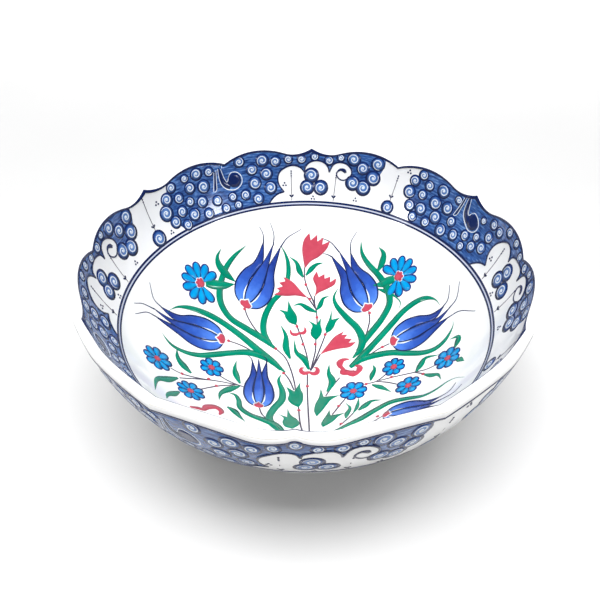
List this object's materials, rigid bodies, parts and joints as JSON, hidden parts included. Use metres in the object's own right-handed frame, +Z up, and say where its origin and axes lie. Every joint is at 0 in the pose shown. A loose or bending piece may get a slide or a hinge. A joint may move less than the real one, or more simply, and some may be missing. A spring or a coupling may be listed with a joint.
{
  "type": "decorated ceramic bowl",
  "caption": "Deep hand-painted ceramic bowl with a bracket-lobed rim, on a low foot ring, for serving or display.",
  "frame": {"origin": "on the table, under the middle of the foot", "axes": "+Z up along the bowl's axis; a rim cusp and the top of the painted bouquet at +Y, its foot at -Y; +X to the right"},
  "size_m": [0.2492, 0.25, 0.116],
  "materials": {
    "fired_body": "fired white stone-paste body under the glaze",
    "bare_clay": "bare fired clay, matt and slightly gritty",
    "clear_glaze": "clear glossy glaze over a white ground",
    "cobalt_paint": "brushed cobalt blue under a glossy glaze",
    "navy_line": "dark blue brush line under a glossy glaze",
    "turquoise_paint": "turquoise under a glossy glaze",
    "green_paint": "emerald green under a glossy glaze",
    "red_paint": "raised coral red slip under a glossy glaze"
  },
  "bodies": {
    "root": {"bowl_body": "fired_body", "foot_ring": "bare_clay", "inner_glaze": "clear_glaze", "outer_glaze": "clear_glaze", "base_glaze": "clear_glaze"}
  },
  "joints": []
}
